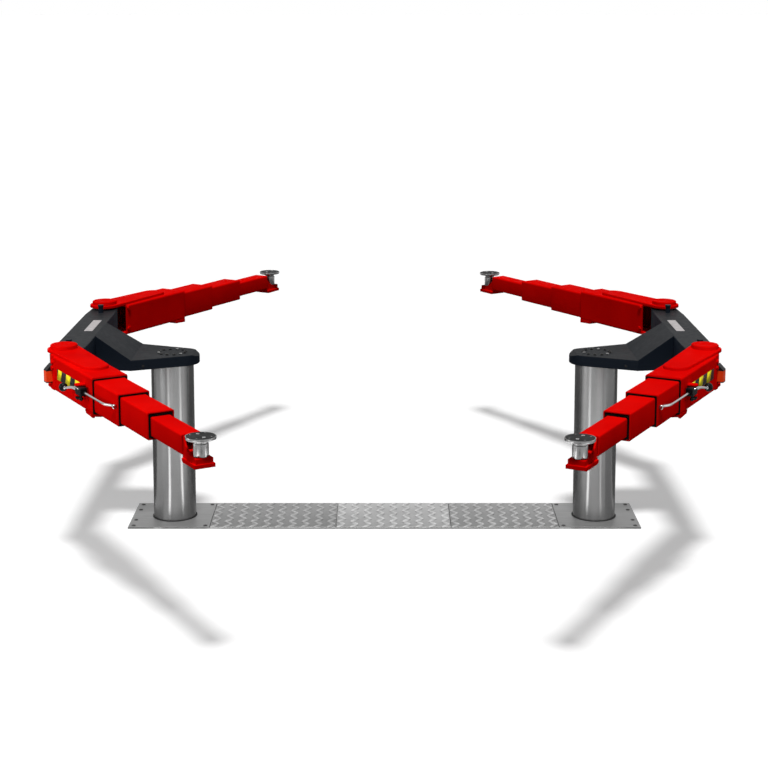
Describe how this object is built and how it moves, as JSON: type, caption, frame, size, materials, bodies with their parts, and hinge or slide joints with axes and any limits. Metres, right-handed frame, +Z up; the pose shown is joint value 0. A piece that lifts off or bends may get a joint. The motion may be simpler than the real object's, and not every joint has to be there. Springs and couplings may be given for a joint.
{
  "type": "two-plunger in-ground car lift",
  "caption": "In-ground car lift: two plungers with yokes and cross-beams, and telescoping swing arms with round lifting pads.",
  "frame": {"origin": "on the floor midway between the two plungers, at the underside of the floor plates", "axes": "+X right along the line of the two plungers, +Y towards the rear arms, +Z up"},
  "size_m": [1.9995, 2.5174, 0.6423],
  "materials": {
    "plate_steel": "dull rolled steel",
    "checker_plate": "dull steel with a raised tread",
    "wiper_rubber": "matt",
    "plunger_steel": "ground steel",
    "dark_coat": "satin dark grey paint",
    "arm_red": "gloss red paint",
    "pad_chrome": "bright zinc or chrome",
    "pad_rubber": "ribbed",
    "lever_chrome": "bright",
    "bumper_orange": "satin"
  },
  "bodies": {
    "floor_frame": {"cover_plate_left": "checker_plate", "cover_plate_middle": "checker_plate", "cover_plate_right": "checker_plate", "base_plate_left": "plate_steel", "wiper_ring_left": "wiper_rubber", "base_plate_right": "plate_steel", "wiper_ring_right": "wiper_rubber"},
    "lift_left": {"plunger_left": "plunger_steel", "yoke_left": "dark_coat", "cross_beam_left": "dark_coat", "pivot_pins_left": "arm_red"},
    "lift_right": {"plunger_right": "plunger_steel", "yoke_right": "dark_coat", "cross_beam_right": "dark_coat", "pivot_pins_right": "arm_red"},
    "arm_front_left": {"outer_section_front_left": "arm_red", "bumper_front_left": "bumper_orange"},
    "arm_front_left_second": {"second_section_front_left": "arm_red"},
    "arm_front_left_third": {"third_section_front_left": "arm_red"},
    "arm_front_left_tip": {"tip_section_front_left": "arm_red"},
    "pad_front_left": {"pad_post_front_left": "pad_chrome", "pad_cover_front_left": "pad_rubber"},
    "lever_front_left": {"lock_lever_front_left": "lever_chrome"},
    "arm_front_right": {"outer_section_front_right": "arm_red", "bumper_front_right": "bumper_orange"},
    "arm_front_right_second": {"second_section_front_right": "arm_red"},
    "arm_front_right_third": {"third_section_front_right": "arm_red"},
    "arm_front_right_tip": {"tip_section_front_right": "arm_red"},
    "pad_front_right": {"pad_post_front_right": "pad_chrome", "pad_cover_front_right": "pad_rubber"},
    "lever_front_right": {"lock_lever_front_right": "lever_chrome"},
    "arm_rear_left": {"outer_section_rear_left": "arm_red", "bumper_rear_left": "bumper_orange"},
    "arm_rear_left_second": {"second_section_rear_left": "arm_red"},
    "arm_rear_left_third": {"third_section_rear_left": "arm_red"},
    "arm_rear_left_tip": {"tip_section_rear_left": "arm_red"},
    "pad_rear_left": {"pad_post_rear_left": "pad_chrome", "pad_cover_rear_left": "pad_rubber"},
    "lever_rear_left": {"lock_lever_rear_left": "lever_chrome"},
    "arm_rear_right": {"outer_section_rear_right": "arm_red", "bumper_rear_right": "bumper_orange"},
    "arm_rear_right_second": {"second_section_rear_right": "arm_red"},
    "arm_rear_right_third": {"third_section_rear_right": "arm_red"},
    "arm_rear_right_tip": {"tip_section_rear_right": "arm_red"},
    "pad_rear_right": {"pad_post_rear_right": "pad_chrome", "pad_cover_rear_right": "pad_rubber"},
    "lever_rear_right": {"lock_lever_rear_right": "lever_chrome"}
  },
  "joints": [
    {"name": "plunger_left_slide", "type": "slide", "parent": "floor_frame", "child": "lift_left", "axis": [0, 0, 1], "range_m": [-0.49, 0]},
    {"name": "plunger_right_slide", "type": "slide", "parent": "floor_frame", "child": "lift_right", "axis": [0, 0, 1], "range_m": [-0.49, 0]},
    {"name": "swing_front_left", "type": "hinge", "parent": "lift_left", "child": "arm_front_left", "pos_m": [-0.948, -0.353, 0.575], "axis": [0, 0, -1], "range_deg": [-59.8, 40.2]},
    {"name": "extend_front_left_second", "type": "slide", "parent": "arm_front_left", "child": "arm_front_left_second", "axis": [0.503, -0.8643, 0], "range_m": [-0.165, 0.05]},
    {"name": "extend_front_left_third", "type": "slide", "parent": "arm_front_left_second", "child": "arm_front_left_third", "axis": [0.503, -0.8643, 0], "range_m": [-0.165, 0.05]},
    {"name": "extend_front_left_tip", "type": "slide", "parent": "arm_front_left_third", "child": "arm_front_left_tip", "axis": [0.503, -0.8643, 0], "range_m": [-0.165, 0.05]},
    {"name": "pad_front_left_turn", "type": "hinge", "parent": "arm_front_left_tip", "child": "pad_front_left", "pos_m": [-0.448, -1.21209, 0.565], "axis": [0, 0, 1], "continuous": true},
    {"name": "lever_front_left_turn", "type": "hinge", "parent": "arm_front_left", "child": "lever_front_left", "pos_m": [-0.8481, -0.65585, 0.578], "axis": [0, 0, -1], "range_deg": [0, 8]},
    {"name": "swing_front_right", "type": "hinge", "parent": "lift_right", "child": "arm_front_right", "pos_m": [0.948, -0.353, 0.575], "axis": [0, 0, 1], "range_deg": [-61.6, 38.4]},
    {"name": "extend_front_right_second", "type": "slide", "parent": "arm_front_right", "child": "arm_front_right_second", "axis": [-0.4756, -0.8796, 0], "range_m": [-0.165, 0.05]},
    {"name": "extend_front_right_third", "type": "slide", "parent": "arm_front_right_second", "child": "arm_front_right_third", "axis": [-0.4756, -0.8796, 0], "range_m": [-0.165, 0.05]},
    {"name": "extend_front_right_tip", "type": "slide", "parent": "arm_front_right_third", "child": "arm_front_right_tip", "axis": [-0.4756, -0.8796, 0], "range_m": [-0.165, 0.05]},
    {"name": "pad_front_right_turn", "type": "hinge", "parent": "arm_front_right_tip", "child": "pad_front_right", "pos_m": [0.47523, -1.22737, 0.565], "axis": [0, 0, 1], "continuous": true},
    {"name": "lever_front_right_turn", "type": "hinge", "parent": "arm_front_right", "child": "lever_front_right", "pos_m": [0.85766, -0.65884, 0.578], "axis": [0, 0, 1], "range_deg": [0, 8]},
    {"name": "swing_rear_left", "type": "hinge", "parent": "lift_left", "child": "arm_rear_left", "pos_m": [-0.948, 0.353, 0.575], "axis": [0, 0, 1], "range_deg": [-59.9, 40.1]},
    {"name": "extend_rear_left_second", "type": "slide", "parent": "arm_rear_left", "child": "arm_rear_left_second", "axis": [0.5015, 0.8652, 0], "range_m": [-0.165, 0.05]},
    {"name": "extend_rear_left_third", "type": "slide", "parent": "arm_rear_left_second", "child": "arm_rear_left_third", "axis": [0.5015, 0.8652, 0], "range_m": [-0.165, 0.05]},
    {"name": "extend_rear_left_tip", "type": "slide", "parent": "arm_rear_left_third", "child": "arm_rear_left_tip", "axis": [0.5015, 0.8652, 0], "range_m": [-0.165, 0.05]},
    {"name": "pad_rear_left_turn", "type": "hinge", "parent": "arm_rear_left_tip", "child": "pad_rear_left", "pos_m": [-0.4495, 1.21296, 0.565], "axis": [0, 0, 1], "continuous": true},
    {"name": "lever_rear_left_turn", "type": "hinge", "parent": "arm_rear_left", "child": "lever_rear_left", "pos_m": [-0.84863, 0.65603, 0.578], "axis": [0, 0, 1], "range_deg": [0, 8]},
    {"name": "swing_rear_right", "type": "hinge", "parent": "lift_right", "child": "arm_rear_right", "pos_m": [0.948, 0.353, 0.575], "axis": [0, 0, -1], "range_deg": [-57.3, 42.7]},
    {"name": "extend_rear_right_second", "type": "slide", "parent": "arm_rear_right", "child": "arm_rear_right_second", "axis": [-0.5402, 0.8415, 0], "range_m": [-0.165, 0.05]},
    {"name": "extend_rear_right_third", "type": "slide", "parent": "arm_rear_right_second", "child": "arm_rear_right_third", "axis": [-0.5402, 0.8415, 0], "range_m": [-0.165, 0.05]},
    {"name": "extend_rear_right_tip", "type": "slide", "parent": "arm_rear_right_third", "child": "arm_rear_right_tip", "axis": [-0.5402, 0.8415, 0], "range_m": [-0.165, 0.05]},
    {"name": "pad_rear_right_turn", "type": "hinge", "parent": "arm_rear_right_tip", "child": "pad_rear_right", "pos_m": [0.411, 1.18946, 0.565], "axis": [0, 0, 1], "continuous": true},
    {"name": "lever_rear_right_turn", "type": "hinge", "parent": "arm_rear_right", "child": "lever_rear_right", "pos_m": [0.83498, 0.65121, 0.578], "axis": [0, 0, -1], "range_deg": [0, 8]}
  ],
  "couplings": [
    {"joint": "plunger_right_slide", "follows": "plunger_left_slide", "ratio": 1}
  ]
}
